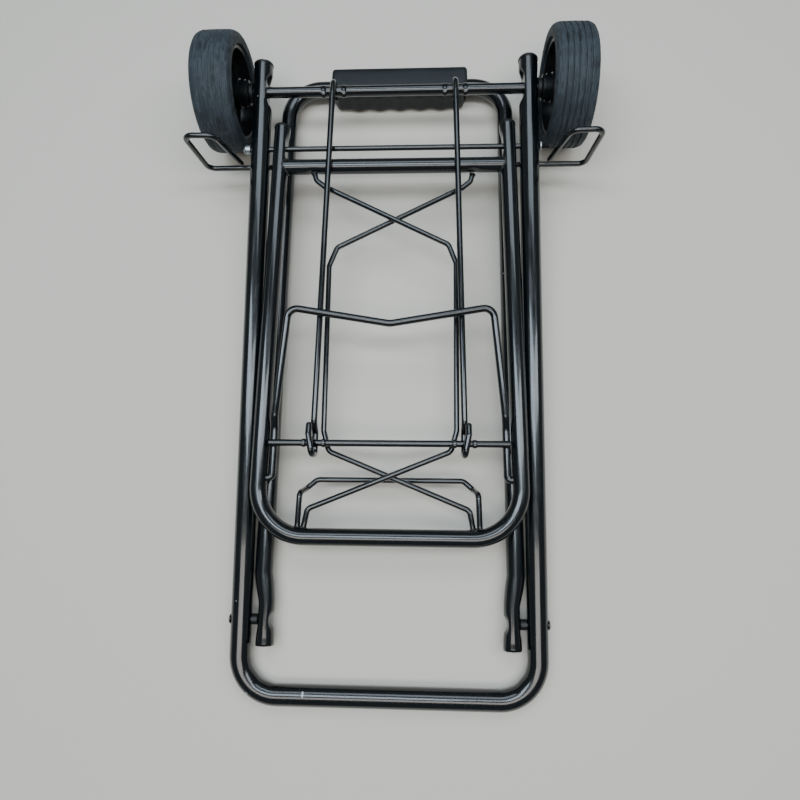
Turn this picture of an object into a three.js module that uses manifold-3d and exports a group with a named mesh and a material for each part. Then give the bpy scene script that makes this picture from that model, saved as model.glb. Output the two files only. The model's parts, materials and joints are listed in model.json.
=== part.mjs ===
// Folding luggage rack, lying folded on its wheels, its main cross bar and its handle grip.
// Millimetres. +X runs along the axle, +Y from the cross bar towards the wheels, +Z is up.
// The origin is on the ground, in the middle of the folded rack's length and width.
//
// Three nested frames hold the pieces:
//   main plane      tilted up from the cross bar to the axle; its Y is a station along the legs
//   platform plane  inside the main plane, hinged near the axle; its Y is minus the distance from the hinge
//   handle plane    level, because the grip and the cross bar both lie on the ground

import * as THREE from "three";
import { mergeVertices } from "three/addons/utils/BufferGeometryUtils.js";
import Module from "manifold-3d";

const wasm = await Module();
wasm.setup();

// ---------- driving dimensions ----------

// general
const GAP = 0.3; // left between pieces that touch
const RUNNING_GAP = 0.25; // around a shaft that turns
const TUBE_WALL = 1.2;
const PLUG_DEPTH = 4; // of the end plugs inside their tubes

// main frame
const MAIN_TUBE = 18; // outside diameter
const MAIN_WIDTH = 255; // leg centre to leg centre
const MAIN_BEND = 33; // centreline radius of its two corners
const AXLE_STATION = 553.5; // stations are measured from the middle of the cross bar
const HINGE_BEFORE_AXLE = 58.5;
const GUARD_BEFORE_AXLE = 70.5;
const RIVET_STATION = 62;
const LEG_PAST_AXLE = 27;
const MAIN_PRESS_INNER = 4.2; // how far the legs' inner side is pressed in at the axle
const MAIN_PRESS_OUTER = 1.2; // and their outer side

// wheels and axle
const WHEEL_DIAMETER = 107;
const TYRE_WIDTH = 38;
const TYRE_DEPTH = 12.5; // from the tread to the rim
const HUB_BOSS = 24;
const HUB_STANDS_IN = 4; // the boss reaches this far inside the tyre's inner face
const WEB_THICKNESS = 3.5;
const RIM_THICKNESS = 3;
const AXLE = 10;
const AXLE_CRIMP = 1.1; // height of the pressed ears that keep each strut in its place
const CRIMP_LENGTH = 3;
const WASHER = 18;
const WASHER_THICKNESS = 3.6;
const AXLE_CAP = 16;
const AXLE_CAP_LENGTH = 4;

// hinge rod and guard wire
const HINGE_ROD = 5;
const HINGE_CAP = 8.8;
const HINGE_CAP_LENGTH = 7.4;
const HINGE_NUT = 10;
const HINGE_NUT_LENGTH = 1.6;
const HINGE_ROD_PAST_LEG = 10;
const GUARD_WIRE = 5;
const GUARD_RISE = 46.5; // top of a wheel guard above the main plane
const GUARD_REACH = 47.5; // from the leg's face out to the guard's outer side
const GUARD_TOP = 27.5; // width of its top, between the corners
const GUARD_FREE_END = 9.8; // from the leg's face to the free end
const GUARD_BEND = 8;

// handle
const HANDLE_TUBE = 16;
const HANDLE_SIDE_GAP = 0.5; // between a handle leg and the main leg beside it
const HANDLE_PAST_AXLE = 33.79; // middle of the handle's cross bar beyond the axle
const HANDLE_BEND = 33;
const HANDLE_TAIL = 21; // past the rivet
const HANDLE_INSET = 4; // how far in the legs' ends are set
const INSET_STARTS = 15; // from the rivet
const INSET_RUN = 24;
const INSET_BEND = 30;
const HANDLE_PRESS = 1.5; // how far their outer faces are pressed in at the rivets
const HANDLE_DIMPLE = 5; // and their inner faces
const SPACER = 9;
const RIVET = 5;
const RIVET_HEAD = 8.4;
const RIVET_HEAD_THICKNESS = 1.6;
const GRIP_LENGTH = 138;
const GRIP_DEPTH = 34;
const GRIP_SHIFT_X = 3; // the grip sits a little off the middle of its bar
const GRIP_SHIFT_Y = -1.5;
const GRIP_FRONT_LENGTH = 129; // along the ridged side
const RIDGES = 5;
const RIDGE_PITCH = 22.5;
const RIDGE_HEIGHT = 2.2;

// platform
const PLATFORM_TUBE = 15;
const PLATFORM_TILT = 2.47; // degrees between the folded platform and the main plane
const PLATFORM_LENGTH = 361; // hinge to the middle of its cross bar
const PLATFORM_SIDE_GAP = 3.5; // between a platform leg and the main leg beside it, at the hinge
const PLATFORM_SPLAY = 6.7; // how much further out each leg stands at the cross bar
const PLATFORM_BEND = 42;
const PLATFORM_TAIL = 20.8; // past the hinge
const PLATFORM_PRESS = 2.6; // how far the legs are pressed in at the hinge
const CROSSBAR = 14;
const CROSSBAR_DISTANCE = 18.6; // from the hinge
const CROSS_WIRE = 5;
const CROSS_WIRE_LEVEL = 0.4; // the upper wire above the platform plane; the lower one lies under it
const CROSS_WIRE_SIDE = 58.6; // half the width between the wires' long straights
const CROSS_WIRE_START_INSET = 33.35; // from a platform leg to where a wire leaves the crossbar
const CROSS_WIRE_END_INSET = 41.6; // and to where it meets the far bar
const LIP_WIRE = 5;
const LIP_INSET = 36.2; // from a platform leg to the lip's end
const LIP_REACH = 49; // from the platform's cross bar back to the lip's bar
const LIP_DROP = 18;

// foot
const FOOT_WIRE = 6.5;
const FOOT_PIVOT_DISTANCE = 311.3; // from the hinge
const FOOT_LENGTH = 149; // pivot to the corners of its bar
const FOOT_DIP = 15; // how far the bar's middle dips back
const FOOT_CORNER_INSET = 13.01; // from the platform leg's inner face in to a corner of the foot's bar
const FOOT_RISE = 16.2; // bar above the platform plane when folded
const FOOT_ROD = 6;
const FOOT_ROD_DISTANCE = 30; // along the legs, from the pivot
const FOOT_ROD_RISE = 7;
const FOOT_LEG_INSET = 3.9; // centre of a foot leg inside the platform leg's face

// struts
const STRUT_WIRE = 5.5;
const STRUT_AXLE_X = 58;
const STRUT_ROD_X = 65;
const STRUT_ABOVE_ROD = 1.9; // the shank aims this far above the rod's centre
const EYE_CLEAR_ALONG = 7.2; // clear space in the eye before and after the rod's centre
const EYE_CLEAR_BELOW = 3.4; // and under it
const EYE_CLEAR_ABOVE = 7.3; // and over it
const EYE_BEND = 4.9; // centreline radius of the eye's corners
const EYE_CLOSING = 7.5; // how much longer the eye is on the axle's side, where it closes

// facets
const TUBE_SIDES = 14;
const WIRE_SIDES = 8;
const BEND_STEPS = 6;
const WHEEL_SIDES = 36;
const SMALL_SIDES = 16;

// ---------- sizes that follow ----------

const mainRadius = MAIN_TUBE / 2;
const hingeStation = AXLE_STATION - HINGE_BEFORE_AXLE;
const guardStation = AXLE_STATION - GUARD_BEFORE_AXLE;
const wheelRadius = WHEEL_DIAMETER / 2;
const axleRadius = AXLE / 2;
const mainTilt = Math.asin((wheelRadius - mainRadius) / AXLE_STATION);
const legX = MAIN_WIDTH / 2;
const legInnerFace = legX - mainRadius;
const legOuterFace = legX + mainRadius;
const washerStart = legOuterFace - MAIN_PRESS_OUTER + GAP;
const hubStart = washerStart + WASHER_THICKNESS + GAP;
const tyreStart = hubStart + HUB_STANDS_IN;
const tyreMiddle = tyreStart + TYRE_WIDTH / 2;
const hubEnd = tyreStart + TYRE_WIDTH - 2;

const handleLegX = legInnerFace - HANDLE_SIDE_GAP - HANDLE_TUBE / 2;
const handleEndX = handleLegX - HANDLE_INSET;
const handleFlatX = handleEndX + HANDLE_TUBE / 2 - HANDLE_PRESS; // the pressed outer face at the rivet
const spacerThickness = legInnerFace - 2 * GAP - handleFlatX;
const rivetY = RIVET_STATION * Math.cos(mainTilt);
const rivetZ = mainRadius + RIVET_STATION * Math.sin(mainTilt);
const gripTop = 2 * rivetZ;
const axleY = AXLE_STATION * Math.cos(mainTilt);
const handleBarY = axleY + HANDLE_PAST_AXLE;
const handleReach = handleBarY - rivetY;

const farEnd = Math.max(axleY + wheelRadius, handleBarY + GRIP_SHIFT_Y + GRIP_DEPTH / 2);
const originY = (farEnd - mainRadius) / 2; // the cross bar's middle is this far behind the origin

const platformTilt = THREE.MathUtils.degToRad(PLATFORM_TILT);
const platformHingeX = legInnerFace - PLATFORM_SIDE_GAP - PLATFORM_TUBE / 2;
const platformLegX = (distance) => platformHingeX + (PLATFORM_SPLAY * distance) / PLATFORM_LENGTH;
const footRodDistance = FOOT_PIVOT_DISTANCE - FOOT_ROD_DISTANCE;

// the rod that the struts pull on, in the main plane, and the strut that reaches it from the axle
const footRod = new THREE.Vector2(
  hingeStation - footRodDistance * Math.cos(platformTilt) + FOOT_ROD_RISE * Math.sin(platformTilt),
  footRodDistance * Math.sin(platformTilt) + FOOT_ROD_RISE * Math.cos(platformTilt),
);
const strutRun = AXLE_STATION - footRod.x;
const strutLength = Math.hypot(strutRun, footRod.y);
const strutTilt = -Math.atan2(footRod.y, strutRun);

// ---------- materials ----------

const finish = (color, roughness, metalness) => new THREE.MeshStandardMaterial({ color, roughness, metalness });
const blackPaint = finish(0x101418, 0.28, 0.1);
const blackPlastic = finish(0x14171a, 0.5, 0);
const rubber = finish(0x34383b, 0.85, 0);
const zinc = finish(0x9aa0a4, 0.35, 0.9);

// ---------- geometry helpers ----------

const v3 = (x, y, z = 0) => new THREE.Vector3(x, y, z);

// A path of straights and round bends whose steps fall only where its shape changes.
class BentPath extends THREE.Curve {
  // corners: [x, y, z, bend radius]; the first and the last have no radius
  constructor(corners, bendSteps = BEND_STEPS) {
    super();
    const points = corners.map(([x, y, z = 0]) => v3(x, y, z));
    this.stations = [{ point: points[0], tangent: points[1].clone().sub(points[0]).normalize() }];
    for (let i = 1; i < points.length - 1; i++) {
      this.addCorner(points[i - 1], points[i], points[i + 1], corners[i][3] ?? 0, bendSteps);
    }
    const last = points.at(-1);
    this.stations.push({ point: last, tangent: last.clone().sub(points.at(-2)).normalize() });
    this.steps = this.stations.length - 1;
  }

  addCorner(before, corner, after, radius, bendSteps) {
    const arriving = corner.clone().sub(before).normalize();
    const leaving = after.clone().sub(corner).normalize();
    const turn = arriving.angleTo(leaving);
    if (radius === 0 || turn < 1e-4) {
      this.stations.push({ point: corner, tangent: arriving.clone().add(leaving).normalize() });
      return;
    }
    const setback = radius * Math.tan(turn / 2);
    const start = corner.clone().addScaledVector(arriving, -setback);
    const axis = arriving.clone().cross(leaving).normalize();
    const centre = start.clone().addScaledVector(axis.clone().cross(arriving), radius);
    const steps = Math.max(2, Math.round((bendSteps * turn) / (Math.PI / 2)));
    for (let k = 0; k <= steps; k++) {
      const angle = (turn * k) / steps;
      this.stations.push({
        point: start.clone().sub(centre).applyAxisAngle(axis, angle).add(centre),
        tangent: arriving.clone().applyAxisAngle(axis, angle),
      });
    }
  }

  at(u, what) {
    const place = Math.min(Math.max(u, 0), 1) * this.steps;
    const i = Math.min(Math.floor(place + 1e-9), this.steps - 1);
    return this.stations[i][what].clone().lerp(this.stations[i + 1][what], place - i);
  }

  getPointAt(u) {
    return this.at(u, "point");
  }

  getTangentAt(u) {
    return this.at(u, "tangent").normalize();
  }
}

const ringPoints = (radius, sides) =>
  Array.from({ length: sides }, (_, i) => {
    const angle = ((i + 0.5) * 2 * Math.PI) / sides;
    return new THREE.Vector2(radius * Math.cos(angle), radius * Math.sin(angle));
  });

// A round wire along a path, or a tube if it has a wall.
function sweep(path, diameter, { wall = 0, sides = WIRE_SIDES } = {}) {
  const shape = new THREE.Shape(ringPoints(diameter / 2, sides));
  if (wall) shape.holes.push(new THREE.Path(ringPoints(diameter / 2 - wall, sides)));
  return new THREE.ExtrudeGeometry(shape, { steps: path.steps, extrudePath: path, curveSegments: 1 });
}

// A turned piece on the X axis. The profile is [x, radius] pairs and starts and ends on the axis or closes.
function turned(profile, sides = SMALL_SIDES) {
  const points = profile.map(([x, radius]) => new THREE.Vector2(radius, x));
  return new THREE.LatheGeometry(points, sides).rotateZ(-Math.PI / 2);
}

const disc = (from, to, radius, bore) =>
  turned([[from, bore], [from, radius], [to, radius], [to, bore], [from, bore]]);

const rod = (from, to, radius, sides = SMALL_SIDES) =>
  turned([[from, 0], [from, radius], [to, radius], [to, 0]], sides);

function signedVolume(position, index) {
  const [a, b, c] = [v3(0, 0), v3(0, 0), v3(0, 0)];
  let sum = 0;
  for (let i = 0; i < index.count; i += 3) {
    a.fromBufferAttribute(position, index.getX(i));
    b.fromBufferAttribute(position, index.getX(i + 1));
    c.fromBufferAttribute(position, index.getX(i + 2));
    sum += a.dot(b.cross(c));
  }
  return sum;
}

function toSolid(geometry) {
  const bare = geometry.clone();
  bare.deleteAttribute("normal");
  bare.deleteAttribute("uv");
  const merged = mergeVertices(bare, 1e-4);
  const { position } = merged.attributes;
  const triVerts = new Uint32Array(merged.index.array);
  if (signedVolume(position, merged.index) < 0) {
    for (let i = 0; i < triVerts.length; i += 3) {
      [triVerts[i], triVerts[i + 1]] = [triVerts[i + 1], triVerts[i]];
    }
  }
  return new wasm.Manifold(
    new wasm.Mesh({ numProp: 3, vertProperties: new Float32Array(position.array), triVerts }),
  );
}

function toGeometry(solid) {
  const { vertProperties, triVerts } = solid.getMesh();
  const geometry = new THREE.BufferGeometry();
  geometry.setAttribute("position", new THREE.BufferAttribute(vertProperties, 3));
  geometry.setIndex(new THREE.BufferAttribute(triVerts, 1));
  geometry.computeVertexNormals();
  return geometry;
}

// Presses the legs of a hollow U flat over a zone: no wall stands nearer than `low` or further than
// `high` from the middle, and the pressing fades out over `ramp` either side of the zone.
function pressLegs(geometry, { centreX, radius, y, half, ramp, low, high }) {
  const position = geometry.attributes.position;
  for (let i = 0; i < position.count; i++) {
    const x = position.getX(i);
    const away = Math.abs(position.getY(i) - y) - half;
    const beside = Math.abs(Math.abs(x) - centreX) < radius + 1;
    if (away > ramp || !beside) continue;
    const inside = Math.hypot(Math.abs(x) - centreX, position.getZ(i)) < radius - TUBE_WALL / 2;
    const wall = inside ? TUBE_WALL : 0;
    const fade = Math.max(away, 0) / ramp;
    const least = THREE.MathUtils.lerp(low, centreX - radius, fade) + wall;
    const most = THREE.MathUtils.lerp(high, centreX + radius, fade) - wall;
    position.setX(i, Math.sign(x) * THREE.MathUtils.clamp(Math.abs(x), least, most));
  }
  return geometry;
}

// Wires and bars that meet a tube are cut back from it all round.
const trimmed = (geometry, ...tubes) =>
  toGeometry(tubes.reduce((solid, tube) => solid.subtract(toSolid(tube)), toSolid(geometry)));

const mirrored = (corners) => [...corners, ...corners.map(([x, ...rest]) => [-x, ...rest]).reverse()];

const crossHole = (y, z, diameter, from, to) => toSolid(rod(from, to, diameter / 2).translate(0, y, z));

// An end plug whose head covers the end of a tube that points along +Y.
const plugGeometry = (tube) => {
  const shank = (tube / 2 - TUBE_WALL) * Math.cos(Math.PI / TUBE_SIDES) - GAP;
  const head = tube / 2 + 0.3;
  const profile = [[-PLUG_DEPTH, 0], [-PLUG_DEPTH, shank], [GAP, shank], [GAP, head]];
  profile.push([2, head], [3.2, head - 1.6], [3.6, 0]);
  return turned(profile).rotateZ(Math.PI / 2);
};

// ---------- the scene graph ----------

const rack = new THREE.Group();
const mainPlane = new THREE.Group();
const platformPlane = new THREE.Group();
const handlePlane = new THREE.Group();
rack.add(mainPlane, handlePlane);
mainPlane.add(platformPlane);
mainPlane.position.set(0, -originY, mainRadius);
mainPlane.rotation.x = mainTilt;
platformPlane.position.set(0, hingeStation, 0);
platformPlane.rotation.x = -platformTilt;
handlePlane.position.set(0, rivetY - originY, rivetZ);

function addNode(parent, name, geometry, material) {
  const mesh = new THREE.Mesh(geometry, material);
  mesh.name = name;
  parent.add(mesh);
  return mesh;
}

const SIDES = [["left", -1], ["right", 1]];

// ---------- main frame ----------

function makeMainFrame() {
  const legEnd = AXLE_STATION + LEG_PAST_AXLE;
  const [half, ramp] = [WASHER / 2 + 0.5, 10];
  const stops = [AXLE_STATION + half + ramp, AXLE_STATION + half, AXLE_STATION - half, AXLE_STATION - half - ramp];
  const leg = [[-legX, legEnd, 0], ...stops.map((y) => [-legX, y, 0, 0])];
  const path = new BentPath(mirrored([...leg, [-legX, 0, 0, MAIN_BEND]]));
  const tube = sweep(path, MAIN_TUBE, { wall: TUBE_WALL, sides: TUBE_SIDES });
  pressLegs(tube, {
    centreX: legX,
    radius: mainRadius,
    y: AXLE_STATION,
    half,
    ramp: ramp - 0.5,
    low: legInnerFace + MAIN_PRESS_INNER,
    high: legOuterFace - MAIN_PRESS_OUTER,
  });
  const reach = legOuterFace + 5;
  const solid = toSolid(tube)
    .subtract(crossHole(AXLE_STATION, 0, AXLE + 2 * GAP, -reach, reach))
    .subtract(crossHole(hingeStation, 0, HINGE_ROD + 2 * GAP, -reach, reach))
    .subtract(crossHole(RIVET_STATION, 0, RIVET + 2 * GAP, -reach, reach));
  addNode(mainPlane, "main_frame", toGeometry(solid), blackPaint);
  for (const [side, sign] of SIDES) {
    const plug = addNode(mainPlane, `main_plug_${side}`, plugGeometry(MAIN_TUBE), blackPlastic);
    plug.position.set(sign * legX, legEnd, 0);
  }
}

// Wire bent into a standing loop in front of each wheel, welded across the back of the legs.
function makeGuardWire() {
  const outer = legOuterFace + GUARD_REACH;
  const backOfLegs = -mainRadius - GUARD_WIRE / 2 - GAP;
  const corners = [
    [-legOuterFace - GUARD_FREE_END, -4],
    [-outer + GUARD_TOP, GUARD_RISE - 1, GUARD_BEND],
    [-outer, GUARD_RISE, GUARD_BEND],
    [-outer + 2.5, backOfLegs, GUARD_BEND],
  ].map(([x, z, radius = 0]) => [x, guardStation, z, radius]);
  addNode(mainPlane, "guard_wire", sweep(new BentPath(mirrored(corners), 4), GUARD_WIRE), blackPaint);
}

function makeHingeRod() {
  const shaft = (name, geometry, material) => {
    const mesh = addNode(mainPlane, name, geometry, material);
    mesh.position.y = hingeStation;
  };
  const bore = HINGE_ROD / 2 + GAP;
  const capStart = legOuterFace + GAP;
  const dome = [
    [capStart + HINGE_CAP_LENGTH - 2, 0],
    [capStart + HINGE_CAP_LENGTH - 2, bore],
    [capStart, bore],
    [capStart, HINGE_CAP / 2],
    [capStart + HINGE_CAP_LENGTH - 3.4, HINGE_CAP / 2],
    [capStart + HINGE_CAP_LENGTH - 1, HINGE_CAP / 2 - 1.2],
    [capStart + HINGE_CAP_LENGTH, 0],
  ];
  shaft("hinge_rod", rod(-legOuterFace - 4, legOuterFace + HINGE_ROD_PAST_LEG, HINGE_ROD / 2, 12), blackPaint);
  shaft("hinge_cap_left", turned(dome).rotateZ(Math.PI), zinc);
  shaft("hinge_nut_right", disc(capStart, capStart + HINGE_NUT_LENGTH, HINGE_NUT / 2, bore), zinc);
}

function makeAxle() {
  const ear = axleRadius + AXLE_CRIMP;
  const end = hubEnd + GAP + AXLE_CAP_LENGTH - 1.5;
  const ridges = [-1, 1].flatMap((sign) =>
    [-1, 1].map((edge) => sign * STRUT_AXLE_X + edge * (STRUT_WIRE / 2 + 5.5 + CRIMP_LENGTH / 2)),
  );
  const profile = [[-end, 0], [-end, axleRadius]];
  for (const x of ridges.sort((a, b) => a - b)) {
    const [from, to] = [x - CRIMP_LENGTH / 2, x + CRIMP_LENGTH / 2];
    profile.push([from - 0.6, axleRadius], [from, ear], [to, ear], [to + 0.6, axleRadius]);
  }
  profile.push([end, axleRadius], [end, 0]);
  const axle = addNode(mainPlane, "axle", turned(profile), blackPaint);
  axle.position.y = AXLE_STATION;
  const bore = axleRadius + GAP;
  const capFrom = hubEnd + GAP;
  const capTo = capFrom + AXLE_CAP_LENGTH;
  const cap = [
    [capTo - 1.2, 0],
    [capTo - 1.2, bore],
    [capFrom, bore],
    [capFrom, AXLE_CAP / 2],
    [capTo - 2, AXLE_CAP / 2],
    [capTo, AXLE_CAP / 2 - 3],
    [capTo, 0],
  ];
  for (const [side, sign] of SIDES) {
    const turn = sign < 0 ? Math.PI : 0;
    const washer = disc(washerStart, washerStart + WASHER_THICKNESS, WASHER / 2, bore).rotateZ(turn);
    addNode(mainPlane, `axle_washer_${side}`, washer, blackPlastic).position.y = AXLE_STATION;
    addNode(mainPlane, `axle_cap_${side}`, turned(cap).rotateZ(turn), zinc).position.y = AXLE_STATION;
  }
}

// ---------- wheels ----------

function makeWheels() {
  const rimOuter = wheelRadius - TYRE_DEPTH;
  const rimInner = rimOuter - RIM_THICKNESS;
  const half = TYRE_WIDTH / 2;
  const tread = [
    [-half + 2.5, rimOuter + GAP],
    [-half, rimOuter + 2],
    [-half, wheelRadius - 5],
    [-half + 3, wheelRadius - 1.2],
    [-half + 8, wheelRadius],
  ];
  const tyre = [...tread, ...tread.map(([x, r]) => [-x, r]).reverse(), tread[0]];
  const boss = HUB_BOSS / 2;
  const webAt = tyreMiddle + 1;
  const bore = axleRadius + RUNNING_GAP;
  const [rimFrom, rimTo] = [tyreMiddle - half + 3, tyreMiddle + half - 3];
  const hub = [
    [hubStart, bore],
    [hubStart, boss - 1.5],
    [webAt - WEB_THICKNESS / 2, boss],
    [webAt - WEB_THICKNESS / 2, rimInner],
    [rimFrom, rimInner],
    [rimFrom, rimOuter],
    [rimTo, rimOuter],
    [rimTo, rimInner],
    [webAt + WEB_THICKNESS / 2, rimInner],
    [webAt + WEB_THICKNESS / 2, boss],
    [hubEnd, boss - 1],
    [hubEnd, bore],
    [hubStart, bore],
  ];
  for (const [side, sign] of SIDES) {
    const turn = sign < 0 ? Math.PI : 0;
    const wheel = new THREE.Group();
    wheel.position.set(0, axleY - originY, wheelRadius);
    rack.add(wheel);
    addNode(wheel, `wheel_hub_${side}`, turned(hub, SMALL_SIDES).rotateZ(turn), blackPlastic);
    addNode(wheel, `tyre_${side}`, turned(tyre, WHEEL_SIDES), rubber).position.x = sign * tyreMiddle;
  }
}

// ---------- handle ----------

// Each leg bends in a little before it reaches the rivet.
function handlePath() {
  const nearRivet = [-11, -4.8, 4.8, 11].map((y) => [-handleEndX, y, 0, 0]);
  const corners = [
    [-handleEndX, -HANDLE_TAIL, 0],
    ...nearRivet,
    [-handleEndX, INSET_STARTS, 0, INSET_BEND],
    [-handleLegX, INSET_STARTS + INSET_RUN, 0, INSET_BEND],
    [-handleLegX, handleReach, 0, HANDLE_BEND],
  ];
  return new BentPath(mirrored(corners));
}

function makeHandle() {
  const tube = sweep(handlePath(), HANDLE_TUBE, { wall: TUBE_WALL, sides: TUBE_SIDES });
  pressLegs(tube, {
    centreX: handleEndX,
    radius: HANDLE_TUBE / 2,
    y: 0,
    half: 4.8,
    ramp: 6.2,
    low: handleEndX - HANDLE_TUBE / 2 + HANDLE_DIMPLE,
    high: handleFlatX,
  });
  const hole = crossHole(0, 0, RIVET + 2 * RUNNING_GAP, -MAIN_WIDTH / 2, MAIN_WIDTH / 2);
  const solid = toSolid(tube).subtract(hole);
  addNode(handlePlane, "handle_frame", toGeometry(solid), blackPaint);
}

// The outline of the grip from above: straight on the far side, ridged between the fingers on the near side.
function gripOutline() {
  const [halfLength, halfDepth, corner] = [GRIP_LENGTH / 2, GRIP_DEPTH / 2, 4];
  const ridgesEnd = (RIDGES * RIDGE_PITCH) / 2;
  const valley = -halfDepth + RIDGE_HEIGHT;
  const frontEnd = GRIP_FRONT_LENGTH / 2;
  const outline = new THREE.Shape();
  outline.moveTo(ridgesEnd, valley);
  outline.lineTo(frontEnd - 1, valley + 3);
  outline.lineTo(halfLength, 0);
  outline.lineTo(halfLength, halfDepth - corner);
  outline.lineTo(halfLength - corner, halfDepth);
  outline.lineTo(-halfLength + corner, halfDepth);
  outline.lineTo(-halfLength, halfDepth - corner);
  outline.lineTo(-halfLength, 0);
  outline.lineTo(-frontEnd + 1, valley + 3);
  outline.lineTo(-ridgesEnd, valley);
  for (let i = 0; i < RIDGES; i++) {
    const from = -ridgesEnd + i * RIDGE_PITCH;
    outline.lineTo(from + RIDGE_PITCH * 0.35, -halfDepth);
    outline.lineTo(from + RIDGE_PITCH * 0.65, -halfDepth);
    if (i < RIDGES - 1) outline.lineTo(from + RIDGE_PITCH, valley);
  }
  return outline;
}

// The grip encloses the handle's cross bar and is bored for the tube all along its path.
function makeGrip() {
  const edge = 5;
  const body = new THREE.ExtrudeGeometry(gripOutline(), {
    depth: gripTop - 2 * edge,
    bevelEnabled: true,
    bevelThickness: edge - 0.1,
    bevelSize: edge,
    bevelOffset: -edge,
    bevelSegments: 2,
  }).translate(GRIP_SHIFT_X, handleReach + GRIP_SHIFT_Y, -gripTop / 2 + edge);
  const bore = sweep(handlePath(), HANDLE_TUBE + 2 * GAP, { sides: TUBE_SIDES });
  addNode(handlePlane, "handle_grip", trimmed(body, bore), blackPlastic);
}

// Rivets hold the handle's legs against spacers inside the main legs.
function makeHandlePivots() {
  const headIn = handleFlatX - TUBE_WALL - 2 * GAP;
  const headOut = legOuterFace + GAP;
  for (const [side, sign] of SIDES) {
    const turn = sign < 0 ? Math.PI : 0;
    const radius = RIVET / 2;
    const rivet = turned([
      [headIn - RIVET_HEAD_THICKNESS, 0],
      [headIn - RIVET_HEAD_THICKNESS, RIVET_HEAD / 2 - 1.5],
      [headIn, RIVET_HEAD / 2 - 1],
      [headIn, radius],
      [headOut, radius],
      [headOut, RIVET_HEAD / 2],
      [headOut + RIVET_HEAD_THICKNESS, RIVET_HEAD / 2 - 1.5],
      [headOut + RIVET_HEAD_THICKNESS, 0],
    ]).rotateZ(turn);
    addNode(mainPlane, `handle_rivet_${side}`, rivet, blackPaint).position.y = RIVET_STATION;
    const from = handleFlatX + GAP;
    const spacer = disc(from, from + spacerThickness, SPACER / 2, radius + GAP).rotateZ(turn);
    addNode(mainPlane, `handle_spacer_${side}`, spacer, blackPlastic).position.y = RIVET_STATION;
  }
}

// ---------- platform ----------

function platformPath() {
  const leg = (distance) => [-platformLegX(distance), -distance, 0, 0];
  const [half, ramp] = [7, 10];
  const stops = [-PLATFORM_TAIL, -half - ramp, -half, half, half + ramp].map(leg);
  stops[0].length = 3;
  const corner = [-platformLegX(PLATFORM_LENGTH), -PLATFORM_LENGTH, 0, PLATFORM_BEND];
  return { path: new BentPath(mirrored([...stops, corner])), half, ramp };
}

function makePlatformFrame() {
  const { path, half, ramp } = platformPath();
  const radius = PLATFORM_TUBE / 2;
  const centreX = platformLegX(0);
  const tube = sweep(path, PLATFORM_TUBE, { wall: TUBE_WALL, sides: TUBE_SIDES });
  pressLegs(tube, {
    centreX,
    radius,
    y: 0,
    half,
    ramp: ramp - 0.5,
    low: centreX - radius + PLATFORM_PRESS,
    high: centreX + radius,
  });
  const pinHole = (sign) => {
    const face = platformLegX(FOOT_PIVOT_DISTANCE) - radius;
    const [from, to] = [face - 3, face + radius].map((x) => sign * x);
    return crossHole(-FOOT_PIVOT_DISTANCE, 0, FOOT_WIRE + 2 * RUNNING_GAP, Math.min(from, to), Math.max(from, to));
  };
  const solid = toSolid(tube)
    .subtract(crossHole(0, 0, HINGE_ROD + 2 * RUNNING_GAP, -MAIN_WIDTH / 2, MAIN_WIDTH / 2))
    .subtract(pinHole(-1))
    .subtract(pinHole(1));
  addNode(platformPlane, "platform_frame", toGeometry(solid), blackPaint);
  for (const [side, sign] of SIDES) {
    const plug = addNode(platformPlane, `platform_plug_${side}`, plugGeometry(PLATFORM_TUBE), blackPlastic);
    plug.position.set(sign * platformLegX(-PLATFORM_TAIL), PLATFORM_TAIL, 0);
    plug.rotation.z = sign * Math.atan2(PLATFORM_SPLAY, PLATFORM_LENGTH);
  }
}

const platformCutter = () => sweep(platformPath().path, PLATFORM_TUBE + 2 * GAP, { sides: TUBE_SIDES });

function crossbarSweep(diameter, wall = 0) {
  const half = platformLegX(CROSSBAR_DISTANCE);
  const ends = [[-half, -CROSSBAR_DISTANCE, 0], [half, -CROSSBAR_DISTANCE, 0]];
  return sweep(new BentPath(ends), diameter, { wall, sides: TUBE_SIDES });
}

function makeCrossbar() {
  const bar = crossbarSweep(CROSSBAR, TUBE_WALL);
  addNode(platformPlane, "platform_crossbar", trimmed(bar, platformCutter()), blackPaint);
}

// Two bent wires that cross twice between the crossbar and the platform's far bar.
function makeCrossWires() {
  const start = CROSSBAR_DISTANCE + CROSSBAR / 2;
  const end = PLATFORM_LENGTH - PLATFORM_TUBE / 2;
  const side = CROSS_WIRE_SIDE;
  const startX = platformLegX(CROSSBAR_DISTANCE) - CROSS_WIRE_START_INSET;
  const endX = platformLegX(PLATFORM_LENGTH) - CROSS_WIRE_END_INSET;
  const levels = [CROSS_WIRE_LEVEL, CROSS_WIRE_LEVEL - CROSS_WIRE - GAP];
  const bends = [
    [-startX - 1, start - 4, 0],
    [-startX + 2, start + 7, 5],
    [-startX + 10, start + 13.6, 5],
    [side - 7, start + 72, 7],
    [side, start + 90, 9],
    [side, end - 84, 9],
    [side - 5, end - 66, 7],
    [-endX + 3, end - 16, 6],
    [-endX - 1, end + 4, 0],
  ];
  for (const [name, sign, level] of [["cross_wire_upper", 1, levels[0]], ["cross_wire_lower", -1, levels[1]]]) {
    const corners = bends.map(([x, distance, radius]) => [sign * x, -distance, level, radius]);
    const wire = sweep(new BentPath(corners, 4), CROSS_WIRE);
    addNode(platformPlane, name, trimmed(wire, platformCutter(), crossbarSweep(CROSSBAR + 2 * GAP)), blackPaint);
  }
}

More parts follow.
